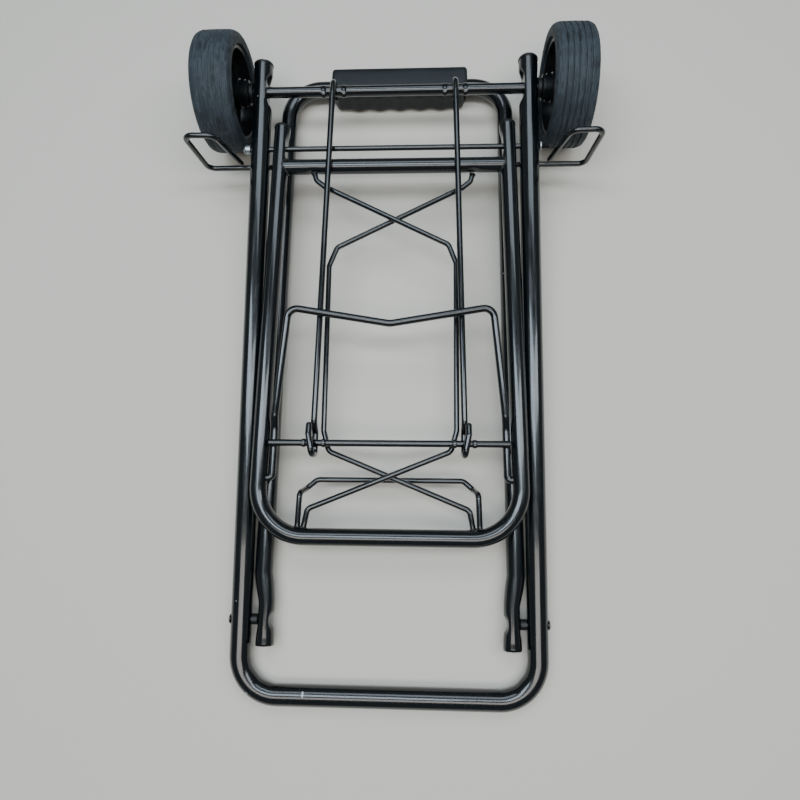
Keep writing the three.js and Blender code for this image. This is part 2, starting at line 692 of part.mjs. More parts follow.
// A low wire lip that stops the load sliding off the platform's end.
function makeLipWire() {
  const bar = PLATFORM_LENGTH - LIP_REACH;
  const endX = platformLegX(PLATFORM_LENGTH) - LIP_INSET;
  const corners = [
    [-endX, -PLATFORM_LENGTH, 0],
    [-endX + 1, -bar - 12, 0, 5],
    [-endX + 4, -bar - 8, -LIP_DROP + 3, 5],
    [-endX + 13, -bar, -LIP_DROP, 7],
  ];
  const wire = sweep(new BentPath(mirrored(corners), 4), LIP_WIRE);
  addNode(platformPlane, "lip_wire", trimmed(wire, platformCutter()), blackPaint);
}

// ---------- foot ----------

function makeFoot() {
  const legAt = (distance) => -(platformLegX(distance) - PLATFORM_TUBE / 2 - FOOT_LEG_INSET);
  const pivot = FOOT_PIVOT_DISTANCE;
  const level = FOOT_ROD_RISE - FOOT_ROD / 2 - FOOT_WIRE / 2 - GAP;
  const [joggle, joggled] = [pivot - 44, pivot - 54];
  const barAt = pivot - FOOT_LENGTH;
  const corners = [
    [legAt(pivot) - 9, -pivot, 0],
    [legAt(pivot), -pivot, 0, FOOT_WIRE / 2 + 0.3],
    [legAt(joggle), -joggle, level, 8],
    [legAt(joggled) + 0.8, -joggled, level + 6.5, 8],
    [-(platformLegX(barAt) - PLATFORM_TUBE / 2 - FOOT_CORNER_INSET), -barAt, FOOT_RISE, 9],
  ];
  const dip = [0, -barAt - FOOT_DIP, FOOT_RISE, 14];
  const path = new BentPath([...corners, dip, ...mirrored(corners).slice(corners.length)], 4);
  addNode(platformPlane, "foot_bail", sweep(path, FOOT_WIRE), blackPaint);

  const half = -legAt(footRodDistance) + FOOT_WIRE / 2 - 0.5;
  const radius = FOOT_ROD / 2;
  const ear = radius + 0.8;
  const profile = [[-half, 0], [-half, radius]];
  const ridges = [-1, 1].flatMap((sign) => [-1, 1].map((edge) => sign * STRUT_ROD_X + edge * 8.6));
  for (const x of ridges.sort((a, b) => a - b)) {
    profile.push([x - 1.6, radius], [x - 1, ear], [x + 1, ear], [x + 1.6, radius]);
  }
  profile.push([half, radius], [half, 0]);
  const crossRod = addNode(platformPlane, "foot_cross_rod", turned(profile, 12), blackPaint);
  crossRod.position.set(0, -footRodDistance, FOOT_ROD_RISE);
}

// ---------- struts ----------

// A strut hooks over the axle and ends in a closed eye, long enough for the cross rod to shift in it.
function makeStruts() {
  const radius = STRUT_WIRE / 2;
  const hook = axleRadius + RUNNING_GAP + radius;
  const eyeTop = EYE_CLEAR_ABOVE + radius;
  const eyeBottom = -EYE_CLEAR_BELOW - radius;
  const eyeFar = -strutLength - EYE_CLEAR_ALONG - radius;
  const eyeNear = -strutLength + EYE_CLEAR_ALONG + radius;
  const closed = eyeNear + EYE_CLOSING;
  for (const [side, sign] of SIDES) {
    const top = sign * STRUT_AXLE_X;
    const bottom = sign * STRUT_ROD_X;
    const beside = bottom + sign * STRUT_WIRE * 0.55;
    const corners = [
      [top, -4.5, -hook],
      [top, hook, -hook, hook - 0.1],
      [top, hook, hook, hook - 0.1],
      [bottom, closed, STRUT_ABOVE_ROD, EYE_BEND],
      [bottom, eyeNear, eyeBottom, EYE_BEND],
      [bottom, eyeFar, eyeBottom, EYE_BEND],
      [bottom, eyeFar, eyeTop, EYE_BEND],
      [beside, eyeNear - 3, eyeTop, EYE_BEND],
      [beside, closed - 1, STRUT_ABOVE_ROD + STRUT_WIRE + GAP],
    ];
    const strut = addNode(mainPlane, `strut_${side}`, sweep(new BentPath(corners, 4), STRUT_WIRE), blackPaint);
    strut.position.y = AXLE_STATION;
    strut.rotation.x = strutTilt;
  }
}

makeMainFrame();
makeGuardWire();
makeHingeRod();
makeAxle();
makeWheels();
makeHandle();
makeGrip();
makeHandlePivots();
makePlatformFrame();
makeCrossbar();
makeCrossWires();
makeLipWire();
makeFoot();
makeStruts();

export default rack;
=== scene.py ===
"""A folding luggage rack, lying folded on its wheels, its cross bar and its handle grip.

The pieces are made in millimetres in the planes that the rack folds in, and placed in metres in the shared frame.
"""

import json
import math

import bmesh
import bpy
from mathutils import Matrix, Vector


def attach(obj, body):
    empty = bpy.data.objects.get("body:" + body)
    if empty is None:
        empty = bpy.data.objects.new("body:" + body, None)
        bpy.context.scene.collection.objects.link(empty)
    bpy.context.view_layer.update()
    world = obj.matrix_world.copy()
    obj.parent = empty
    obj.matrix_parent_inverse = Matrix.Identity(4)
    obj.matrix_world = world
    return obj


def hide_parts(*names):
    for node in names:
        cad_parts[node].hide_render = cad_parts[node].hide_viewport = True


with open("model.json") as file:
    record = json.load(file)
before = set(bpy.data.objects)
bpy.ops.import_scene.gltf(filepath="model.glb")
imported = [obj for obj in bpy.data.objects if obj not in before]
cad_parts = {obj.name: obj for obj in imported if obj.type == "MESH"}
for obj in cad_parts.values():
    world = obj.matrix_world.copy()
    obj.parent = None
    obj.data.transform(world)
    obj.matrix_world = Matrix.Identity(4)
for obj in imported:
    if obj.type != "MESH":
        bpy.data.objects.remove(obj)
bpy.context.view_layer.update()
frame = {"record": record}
pivots = {j["name"]: Vector(j["pos_m"]) * 1000 for j in frame["record"]["behaviour"]["joints"]}

MM = 0.001
SIDES = (("left", -1), ("right", 1))

# ---------- sizes, in millimetres ----------

MAIN_TUBE, MAIN_WIDTH, MAIN_BEND = 18, 255, 33
AXLE_AT, HINGE_AT, GUARD_AT, RIVET_AT, LEG_END = 553.5, 495, 483, 62, 580.5
PRESS_IN, PRESS_OUT = 4.2, 1.2
AXLE, HINGE_ROD, GUARD_WIRE, LIP_WIRE = 10, 5, 5, 5
GUARD_FOOT_X, GUARD_OUTER_X, GUARD_RISE = 146.3, 183.84, 46.5
TYRE_RADIUS, TYRE_MIDDLE, TYRE_WIDTH, RIM_RADIUS = 53.5, 163, 38, 41
HUB_INNER_END, HUB_OUTER_END, HUB_BORE = 139.6, 180, 5.25
TREAD_GROOVES, TREAD_PITCH = 5, 5.2
TREAD_DEPTH = {"left": 0.2, "right": 0.9}  # the left tyre is worn almost smooth
HANDLE_TUBE, HANDLE_X, HANDLE_BEND = 16, 110, 33
HANDLE_TAIL, HANDLE_END_X, HANDLE_FLAT_X = 21, 106, 112.5
HANDLE_LEG_END, BAR_PAST_AXLE = 80, 33.79
PLATFORM_TUBE, PLATFORM_LENGTH, PLATFORM_BEND = 15, 361, 42
PLATFORM_HINGE_X, PLATFORM_SPLAY, PLATFORM_TAIL = 107.5, 6.7, 20.8
PLATFORM_TILT = math.radians(2.47)
CROSSBAR, CROSSBAR_AT = 14, 18.6
WELD_GAP = 0.3
CROSS_WIRE, UPPER_WIRE_LEVEL = 5, 0.4
LOWER_WIRE_LEVEL = UPPER_WIRE_LEVEL - CROSS_WIRE - WELD_GAP
FOOT_WIRE, FOOT_PIVOT_AT, FOOT_ROD, FOOT_ROD_AT, FOOT_ROD_RISE = 6.5, 311.3, 6, 281.3, 7
FOOT_LENGTH, FOOT_INSET, FOOT_BAR_INSET, FOOT_BAR_RISE, FOOT_V = 149, 3.9, 13.01, 16.2, 15
STRUT_WIRE, STRUT_AXLE_X, STRUT_ROD_X = 5.5, 58, 65
EYE_BEND, EYE_ABOVE_ROD, EYE_BELOW_ROD, EYE_EACH_WAY = 4.9, 7.3, 3.4, 7.2
GRIP_HALF, GRIP_FRONT_HALF, GRIP_DEPTH, GRIP_THICK, GRIP_PITCH = 69, 64.5, 17, 13.9, 22.5
GRIP_EDGE, GRIP_HOLLOW = 3.2, 1.1
GRIP_SHIFT = Vector((3, -1.5, 0))
TUBE_WALL = 1.2

# ---------- the planes the pieces lie in ----------

axle, hinge, rivet = pivots["left_wheel_spin"], pivots["platform_fold"], pivots["handle_fold"]
main_tilt = math.asin((axle.z - MAIN_TUBE / 2) / AXLE_AT)
main_plane = Matrix.Translation((0, axle.y - AXLE_AT * math.cos(main_tilt), MAIN_TUBE / 2)) @ Matrix.Rotation(
    main_tilt, 4, "X"
)
platform_plane = Matrix.Translation(hinge) @ Matrix.Rotation(main_tilt - PLATFORM_TILT, 4, "X")
handle_plane = Matrix.Translation(rivet)
wheel_plane = Matrix.Translation(axle)
handle_reach = axle.y + BAR_PAST_AXLE - rivet.y


def platform_leg_x(distance):
    return PLATFORM_HINGE_X + PLATFORM_SPLAY * distance / PLATFORM_LENGTH


# ---------- materials ----------


def colour(hex_value):
    """A linear colour from an sRGB hex value."""
    channels = [int(hex_value[i : i + 2], 16) / 255 for i in (1, 3, 5)]
    return tuple(c / 12.92 if c <= 0.04045 else ((c + 0.055) / 1.055) ** 2.4 for c in channels) + (1.0,)


def add(tree, kind, inputs=None, **settings):
    """A node with its settings, its values and the links into it."""
    made = tree.nodes.new(kind)
    for key, value in settings.items():
        setattr(made, key, value)
    for key, value in (inputs or {}).items():
        if isinstance(value, bpy.types.NodeSocket):
            tree.links.new(value, made.inputs[key])
        else:
            made.inputs[key].default_value = value
    return made


def finish_named(name, **shader):
    """A material with a Principled shader, and its coordinates on the object itself."""
    made = bpy.data.materials.new(name)
    made.use_nodes = True
    tree = made.node_tree
    tree.nodes.clear()
    place = add(tree, "ShaderNodeTexCoord").outputs["Object"]
    surface = add(tree, "ShaderNodeBsdfPrincipled", shader)
    add(tree, "ShaderNodeOutputMaterial", {"Surface": surface.outputs["BSDF"]})
    return made, tree, place, surface


def stove_enamel():
    """Black stove enamel on steel: sprayed and baked, so it is glossy with a faint orange peel.

    It is scuffed along the tubes, and chipped to bright metal in small spots.
    """
    made, tree, place, surface = finish_named("black_stove_enamel", IOR=1.5)
    surface.inputs["Coat Weight"].default_value = 0.5
    surface.inputs["Coat Roughness"].default_value = 0.06
    # clouds of tint some 70 mm wide
    cloud = add(tree, "ShaderNodeTexNoise", {"Vector": place, "Scale": 14.0, "Detail": 3.0})
    tints = {"Factor": cloud.outputs["Fac"], "A": colour("#050709"), "B": colour("#0a1014")}
    tint = add(tree, "ShaderNodeMix", tints, data_type="RGBA")
    # chips: a spot half a millimetre to two wide in one of twenty cells, which are 12 mm apart
    ragged = add(tree, "ShaderNodeTexNoise", {"Vector": place, "Scale": 900.0, "Detail": 2.0})
    shift = add(tree, "ShaderNodeVectorMath", {0: ragged.outputs["Color"], "Scale": 0.0014}, operation="SCALE")
    moved = add(tree, "ShaderNodeVectorMath", {0: place, 1: shift.outputs["Vector"]})
    cells = add(tree, "ShaderNodeTexVoronoi", {"Vector": moved.outputs["Vector"], "Scale": 85.0})
    pick = add(tree, "ShaderNodeSeparateColor", {"Color": cells.outputs["Color"]})
    few = add(tree, "ShaderNodeMath", {0: pick.outputs["Red"], 1: 0.955}, operation="GREATER_THAN")
    size = add(
        tree,
        "ShaderNodeMapRange",
        {"Value": pick.outputs["Green"], "From Min": 0.0, "From Max": 1.0, "To Min": 0.02, "To Max": 0.1},
    )
    near = add(
        tree, "ShaderNodeMath", {0: cells.outputs["Distance"], 1: size.outputs["Result"]}, operation="LESS_THAN"
    )
    chip = add(tree, "ShaderNodeMath", {0: few.outputs[0], 1: near.outputs[0]}, operation="MULTIPLY")
    # one larger knock on top of the main frame's cross bar, 2 mm by 5
    knock_at = main_plane @ Vector((-70, 4, 8)) * MM
    narrow = Vector((2.5, 1, 1))
    beside = add(tree, "ShaderNodeVectorMath", {0: moved.outputs["Vector"], 1: knock_at}, operation="SUBTRACT")
    pinched = add(tree, "ShaderNodeVectorMath", {0: beside.outputs["Vector"], 1: narrow}, operation="MULTIPLY")
    away = add(tree, "ShaderNodeVectorMath", {0: pinched.outputs["Vector"]}, operation="LENGTH")
    knock = add(tree, "ShaderNodeMath", {0: away.outputs["Value"], 1: 0.0026}, operation="LESS_THAN")
    bare = add(tree, "ShaderNodeMath", {0: chip.outputs[0], 1: knock.outputs[0]}, operation="MAXIMUM")
    paint = {"Factor": bare.outputs[0], "A": tint.outputs["Result"], "B": colour("#a9b0b4")}
    worn = add(tree, "ShaderNodeMix", paint, data_type="RGBA")
    tree.links.new(worn.outputs["Result"], surface.inputs["Base Color"])
    # scuffs 2 mm wide, drawn out to 40 mm along the tubes, which mostly run along Y
    drawn = add(tree, "ShaderNodeMapping", {"Vector": place, "Scale": (420.0, 26.0, 420.0)})
    scuffs = add(tree, "ShaderNodeTexNoise", {"Vector": drawn.outputs["Vector"], "Scale": 1.0, "Detail": 4.0})
    rough = add(
        tree,
        "ShaderNodeMapRange",
        {"Value": scuffs.outputs["Fac"], "From Min": 0.35, "From Max": 0.75, "To Min": 0.14, "To Max": 0.3},
    )
    tree.links.new(rough.outputs["Result"], surface.inputs["Roughness"])
    # orange peel, crests 2.6 mm apart
    peel = add(tree, "ShaderNodeTexNoise", {"Vector": place, "Scale": 380.0, "Detail": 1.0})
    skin = add(tree, "ShaderNodeBump", {"Height": peel.outputs["Fac"], "Strength": 0.04, "Distance": 0.0002})
    pits = add(
        tree,
        "ShaderNodeBump",
        {"Height": bare.outputs[0], "Strength": 0.6, "Distance": 0.0002, "Normal": skin.outputs["Normal"]},
        invert=True,
    )
    tree.links.new(pits.outputs["Normal"], surface.inputs["Normal"])
    return made


def moulded_plastic(name, dark, light, roughness, grain, depth):
    """Injection-moulded plastic: a fine even grain from the tool, dulled a little by handling.

    The real grain is a few tenths of a millimetre, too fine to show, so it is drawn one to two millimetres wide.
    """
    made, tree, place, surface = finish_named(name, IOR=1.49)
    cloud = add(tree, "ShaderNodeTexNoise", {"Vector": place, "Scale": 45.0, "Detail": 4.0})
    ramp = add(tree, "ShaderNodeValToRGB", {"Fac": cloud.outputs["Fac"]})
    stops = ramp.color_ramp.elements
    stops[0].position, stops[0].color = 0.3, colour(dark)
    stops[1].position, stops[1].color = 0.75, colour(light)
    tree.links.new(ramp.outputs["Color"], surface.inputs["Base Color"])
    worn = {"Value": cloud.outputs["Fac"], "To Min": roughness - 0.08, "To Max": roughness + 0.1}
    rough = add(tree, "ShaderNodeMapRange", worn)
    tree.links.new(rough.outputs["Result"], surface.inputs["Roughness"])
    leather = add(tree, "ShaderNodeTexNoise", {"Vector": place, "Scale": grain, "Detail": 2.0})
    bump = add(tree, "ShaderNodeBump", {"Height": leather.outputs["Fac"], "Strength": 0.35, "Distance": depth})
    tree.links.new(bump.outputs["Normal"], surface.inputs["Normal"])
    return made


def scuffed_rubber():
    """Tyre rubber: matt, and rubbed grey on the tread by rolling, in streaks that follow the tread."""
    made, tree, place, surface = finish_named("scuffed_tyre_rubber", IOR=1.52)
    surface.inputs["Specular IOR Level"].default_value = 0.35
    # the streaks are a millimetre wide and some 25 mm long round the tread
    centred = add(tree, "ShaderNodeMapping", {"Vector": place, "Location": (0, -axle.y * MM, -axle.z * MM)})
    parts = add(tree, "ShaderNodeSeparateXYZ", {"Vector": centred.outputs["Vector"]})
    turn = add(tree, "ShaderNodeMath", {0: parts.outputs["Y"], 1: parts.outputs["Z"]}, operation="ARCTAN2")
    around = add(tree, "ShaderNodeMath", {0: turn.outputs[0], 1: 2.2}, operation="MULTIPLY")
    across = add(tree, "ShaderNodeMath", {0: parts.outputs["X"], 1: 900.0}, operation="MULTIPLY")
    unrolled = add(tree, "ShaderNodeCombineXYZ", {"X": across.outputs[0], "Y": around.outputs[0]})
    streaks = add(tree, "ShaderNodeTexNoise", {"Vector": unrolled.outputs["Vector"], "Scale": 1.0, "Detail": 5.0})
    patches = add(tree, "ShaderNodeTexNoise", {"Vector": place, "Scale": 60.0, "Detail": 5.0})
    mixed = add(tree, "ShaderNodeMath", {0: streaks.outputs["Fac"], 1: patches.outputs["Fac"]}, operation="ADD")
    ramp = add(tree, "ShaderNodeValToRGB", {"Fac": mixed.outputs[0]})
    stops = ramp.color_ramp.elements
    stops[0].position, stops[0].color = 0.8, colour("#1d2327")
    stops[1].position, stops[1].color = 1.3, colour("#3f484f")
    lighter = stops.new(1.0)
    lighter.color = colour("#2a3137")
    tree.links.new(ramp.outputs["Color"], surface.inputs["Base Color"])
    rough = add(tree, "ShaderNodeMapRange", {"Value": streaks.outputs["Fac"], "To Min": 0.5, "To Max": 0.85})
    tree.links.new(rough.outputs["Result"], surface.inputs["Roughness"])
    fine = add(tree, "ShaderNodeTexNoise", {"Vector": place, "Scale": 700.0, "Detail": 3.0})
    grit = add(tree, "ShaderNodeBump", {"Height": fine.outputs["Fac"], "Strength": 0.3, "Distance": 0.0003})
    rubbed = {"Height": streaks.outputs["Fac"], "Strength": 0.2, "Distance": 0.0003}
    scratch = add(tree, "ShaderNodeBump", {**rubbed, "Normal": grit.outputs["Normal"]})
    tree.links.new(scratch.outputs["Normal"], surface.inputs["Normal"])
    return made


def zinc_plate():
    """Bright zinc plate on steel: silvery, with the dull bloom that zinc gets."""
    made, tree, place, surface = finish_named("bright_zinc_plate", Metallic=1.0)
    bloom = add(tree, "ShaderNodeTexNoise", {"Vector": place, "Scale": 260.0, "Detail": 4.0})
    ramp = add(tree, "ShaderNodeValToRGB", {"Fac": bloom.outputs["Fac"]})
    stops = ramp.color_ramp.elements
    stops[0].position, stops[0].color = 0.3, colour("#8f979c")
    stops[1].position, stops[1].color = 0.7, colour("#c2c8cb")
    tree.links.new(ramp.outputs["Color"], surface.inputs["Base Color"])
    rough = add(tree, "ShaderNodeMapRange", {"Value": bloom.outputs["Fac"], "To Min": 0.22, "To Max": 0.5})
    tree.links.new(rough.outputs["Result"], surface.inputs["Roughness"])
    return made


ENAMEL = stove_enamel()
GRIP_PLASTIC = moulded_plastic("black_polypropylene_grip", "#0a0f12", "#12191e", 0.44, 900.0, 0.0002)
PLUG_PLASTIC = moulded_plastic("black_polyethylene_plugs", "#0b0c0d", "#151313", 0.45, 700.0, 0.0002)
HUB_PLASTIC = moulded_plastic("black_polypropylene_hubs", "#0a0c0e", "#12171a", 0.3, 500.0, 0.0001)
RUBBER = scuffed_rubber()
ZINC = zinc_plate()

# ---------- paths ----------


def bent(corners, degrees, spacing):
    """Points along straights and round bends. Corners are (x, y, z, bend radius); the ends have none.

    A bend gets a point every so many degrees, and the points stand no further apart than the spacing.
    """
    points = [Vector(c[:3]) for c in corners]
    radii = [c[3] if len(c) > 3 else 0 for c in corners]
    out = [points[0]]
    for i in range(1, len(points) - 1):
        arriving = (points[i] - points[i - 1]).normalized()
        leaving = (points[i + 1] - points[i]).normalized()
        turn = arriving.angle(leaving)
        if radii[i] == 0 or turn < 1e-4:
            out.append(points[i])
            continue
        start = points[i] - arriving * radii[i] * math.tan(turn / 2)
        spin = arriving.cross(leaving).normalized()
        centre = start + spin.cross(arriving) * radii[i]
        steps = max(3, round(math.degrees(turn) / degrees))
        for k in range(steps + 1):
            out.append(Matrix.Rotation(turn * k / steps, 3, spin) @ (start - centre) + centre)
    out.append(points[-1])
    fine = [out[0]]
    for point in out[1:]:
        run = point - fine[-1]
        if run.length < 1e-4:
            continue
        steps = max(1, math.ceil(run.length / spacing))
        start = fine[-1]
        fine += [start + run * (k / steps) for k in range(1, steps + 1)]
    return fine


def both_sides(corners):
    """The corners of the left half of a symmetric path, and their mirror images back."""
    return list(corners) + [(-c[0], *c[1:]) for c in reversed(corners)]


def with_soft_ends(points, radius):
    """Adds points near both ends, with the share of full thickness there, so that cut ends are rounded."""
    marks = ((0.0, 0.7), (0.12, 0.86), (0.3, 0.95), (0.6, 1.0))
    start = [(points[0] + (points[1] - points[0]).normalized() * radius * d, g) for d, g in marks]
    end = [(points[-1] + (points[-2] - points[-1]).normalized() * radius * d, g) for d, g in marks]
    keep = [(p, 1.0) for p in points[1:-1]]
    keep = [q for q in keep if min((q[0] - points[0]).length, (q[0] - points[-1]).length) > radius * 0.7]
    return start + keep + end[::-1]


# ---------- node trees for what follows a path ----------


def tree_named(name, sizes):
    """A geometry tree whose sizes are named inputs, with the sockets that hold them."""
    tree = bpy.data.node_groups.new(name, "GeometryNodeTree")
    tree.interface.new_socket("Geometry", in_out="INPUT", socket_type="NodeSocketGeometry")
    for label, kind in sizes:
        tree.interface.new_socket(label, in_out="INPUT", socket_type=kind)
    tree.interface.new_socket("Geometry", in_out="OUTPUT", socket_type="NodeSocketGeometry")
    return tree, add(tree, "NodeGroupInput").outputs


def bent_tube_tree():
    """A round tube or wire along a path; each point of the path holds its share of the full thickness."""
    tree, size = tree_named(
        "bent_tube",
        (
            ("Radius", "NodeSocketFloat"),
            ("Sides", "NodeSocketInt"),
            ("Closed Ends", "NodeSocketBool"),
            ("Finish", "NodeSocketMaterial"),
        ),
    )
    path = add(tree, "GeometryNodeMeshToCurve", {"Mesh": size["Geometry"]})
    circle = {"Resolution": size["Sides"], "Radius": size["Radius"]}
    ring = add(tree, "GeometryNodeCurvePrimitiveCircle", circle)
    girth = add(tree, "GeometryNodeInputNamedAttribute", {"Name": "girth"}, data_type="FLOAT")
    skin = add(
        tree,
        "GeometryNodeCurveToMesh",
        {
            "Curve": path.outputs["Curve"],
            "Profile Curve": ring.outputs["Curve"],
            "Scale": girth.outputs["Attribute"],
            "Fill Caps": size["Closed Ends"],
        },
    )
    real = add(tree, "GeometryNodeRealizeInstances", {"Geometry": skin.outputs["Mesh"]})
    painted = add(
        tree, "GeometryNodeSetMaterial", {"Geometry": real.outputs["Geometry"], "Material": size["Finish"]}
    )
    add(tree, "NodeGroupOutput", {"Geometry": painted.outputs["Geometry"]})
    return tree


def weld_bead_tree():
    """A row of small overlapping blobs along a seam, as a hand weld leaves."""
    tree, size = tree_named(
        "weld_bead",
        (
            ("Bead", "NodeSocketFloat"),
            ("Step", "NodeSocketFloat"),
            ("Seed", "NodeSocketInt"),
            ("Finish", "NodeSocketMaterial"),
        ),
    )
    seam = add(tree, "GeometryNodeMeshToCurve", {"Mesh": size["Geometry"]})
    along = {"Curve": seam.outputs["Curve"], "Length": size["Step"]}
    dots = add(tree, "GeometryNodeCurveToPoints", along, mode="LENGTH")
    blob = add(tree, "GeometryNodeMeshIcoSphere", {"Radius": size["Bead"], "Subdivisions": 2})
    uneven = add(tree, "FunctionNodeRandomValue", {"Seed": size["Seed"]}, data_type="FLOAT_VECTOR")
    uneven.inputs["Min"].default_value = (0.75, 0.75, 0.75)
    uneven.inputs["Max"].default_value = (1.25, 1.25, 1.25)
    row = add(
        tree,
        "GeometryNodeInstanceOnPoints",
        {"Points": dots.outputs["Points"], "Instance": blob.outputs["Mesh"], "Scale": uneven.outputs["Value"]},
    )
    real = add(tree, "GeometryNodeRealizeInstances", {"Geometry": row.outputs["Instances"]})
    painted = add(
        tree, "GeometryNodeSetMaterial", {"Geometry": real.outputs["Geometry"], "Material": size["Finish"]}
    )
    add(tree, "NodeGroupOutput", {"Geometry": painted.outputs["Geometry"]})
    return tree


BENT_TUBE = bent_tube_tree()
WELD_BEAD = weld_bead_tree()


def grown(mesh, tree, **sizes):
    """The plain mesh that a tree makes from a path."""
    scaffold = bpy.data.objects.new("path", mesh)
    bpy.context.scene.collection.objects.link(scaffold)
    modifier = scaffold.modifiers.new("tree", "NODES")
    modifier.node_group = tree
    for socket in tree.interface.items_tree:
        label = socket.name.replace(" ", "_").lower()
        if socket.in_out == "INPUT" and label in sizes:
            modifier[socket.identifier] = sizes[label]
    graph = bpy.context.evaluated_depsgraph_get()
    made = bpy.data.meshes.new_from_object(scaffold.evaluated_get(graph), depsgraph=graph)
    bpy.data.objects.remove(scaffold)
    # the tree can leave an empty slot before the material it sets
    made.materials.clear()
    made.materials.append(sizes["finish"])
    made.polygons.foreach_set("material_index", [0] * len(made.polygons))
    return made


def path_mesh(runs):
    """A mesh of open polylines; each point is (place, share of full thickness)."""
    mesh = bpy.data.meshes.new("path")
    places, edges, girths = [], [], []
    for run in runs:
        first = len(places)
        places += [p for p, _ in run]
        girths += [g for _, g in run]
        edges += [(first + i, first + i + 1) for i in range(len(run) - 1)]
    mesh.from_pydata(places, edges, [])
    mesh.attributes.new("girth", "FLOAT", "POINT").data.foreach_set("value", girths)
    return mesh


# ---------- pieces ----------


def piece(name, body, mesh, stands_for=(), crease=32):
    """Puts a finished mesh in the scene, smooth but for its creases, and sets it on its body."""
    mesh.polygons.foreach_set("use_smooth", [True] * len(mesh.polygons))
    mesh.set_sharp_from_angle(angle=math.radians(crease))
    if "girth" in mesh.attributes:
        mesh.attributes.remove(mesh.attributes["girth"])
    made = bpy.data.objects.new(name, mesh)
    bpy.context.scene.collection.objects.link(made)
    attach(made, body)
    if stands_for:
        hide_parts(*stands_for)
    return made


def placed_at(mesh, plane, shape=None):
    """Shapes a mesh of millimetres in its own plane, point by point, then moves it to its place in metres."""
    for vertex in mesh.vertices:
        here = shape(vertex.co) if shape else vertex.co
        vertex.co = (plane @ here) * MM
    mesh.update()
    return mesh


def tube(plane, points, diameter, sides, open_ends=False, shape=None):
    """The mesh of an enamelled tube or wire along points in a plane."""
    run = [(p, 1.0) for p in points] if open_ends else with_soft_ends(points, diameter / 2)
    made = grown(
        path_mesh([run]),
        BENT_TUBE,
        radius=diameter / 2,
        sides=sides,
        closed_ends=not open_ends,
        finish=ENAMEL,
    )
    return placed_at(made, plane, shape)


def turned(profile, plane, finish, steps, flip=1, shape=None):
    """A mesh turned on X. The profile is (x, radius) pairs, and ends on the axis, or on its first point."""
    mesh = bpy.data.meshes.new("turned")
    shell = bmesh.new()
    angles = [2 * math.pi * k / steps for k in range(steps)]
    closed = profile[0] == profile[-1]
    rings = []
    for x, radius in profile[:-1] if closed else profile:
        round_x = [(x * flip, radius * math.sin(a), radius * math.cos(a)) for a in angles]
        rings.append([shell.verts.new(p) for p in (round_x if radius else [(x * flip, 0, 0)])])
    if closed:
        rings.append(rings[0])
    for low, high in zip(rings, rings[1:]):
        for k in range(steps):
            n = (k + 1) % steps
            if len(low) == 1:
                shell.faces.new((low[0], high[k], high[n]))
            elif len(high) == 1:
                shell.faces.new((low[k], high[0], low[n]))
            else:
                shell.faces.new((low[k], high[k], high[n], low[n]))
    bmesh.ops.recalc_face_normals(shell, faces=shell.faces)
    for vertex in shell.verts:
        if shape:
            vertex.co = shape(vertex.co)
        vertex.co = (plane @ vertex.co) * MM
    shell.to_mesh(mesh)
    shell.free()
    mesh.materials.append(finish)
    return mesh


def joined(meshes):
    """Several meshes of one finish as one."""
    whole = bmesh.new()
    for mesh in meshes:
        whole.from_mesh(mesh)
    out = bpy.data.meshes.new("joined")
    whole.to_mesh(out)
    whole.free()
    out.materials.append(meshes[0].materials[0])
    return out


def fade(distance, full, end):
    """One up to `full` from the middle, nothing past `end`, and smooth between."""
    t = min(max((abs(distance) - full) / (end - full), 0), 1)
    return 1 - t * t * (3 - 2 * t)


def squeeze(x, y, middle, radius, low, high, at, full, end):
    """Presses a leg's inner side out to `low` and its outer side in to `high` near a station."""
    amount = fade(y - at, full, end)
    if amount == 0 or abs(abs(x) - middle) > radius + 1:
        return x
    pressed = min(max(abs(x), low), high)
    return math.copysign(abs(x) + (pressed - abs(x)) * amount, x)


def crimped(at_x, reach=2.6, out=0.26, across=0.2):
    """A shape for a rod with pressed ears at the given places: wider one way and flatter the other."""

    def shape(p):
        for x in at_x:
            amount = fade(p.x - x, 0.9, reach)
            if amount:
                return Vector((p.x, p.y * (1 + out * amount), p.z * (1 - across * amount)))
        return p

    return shape


# ---------- main frame ----------


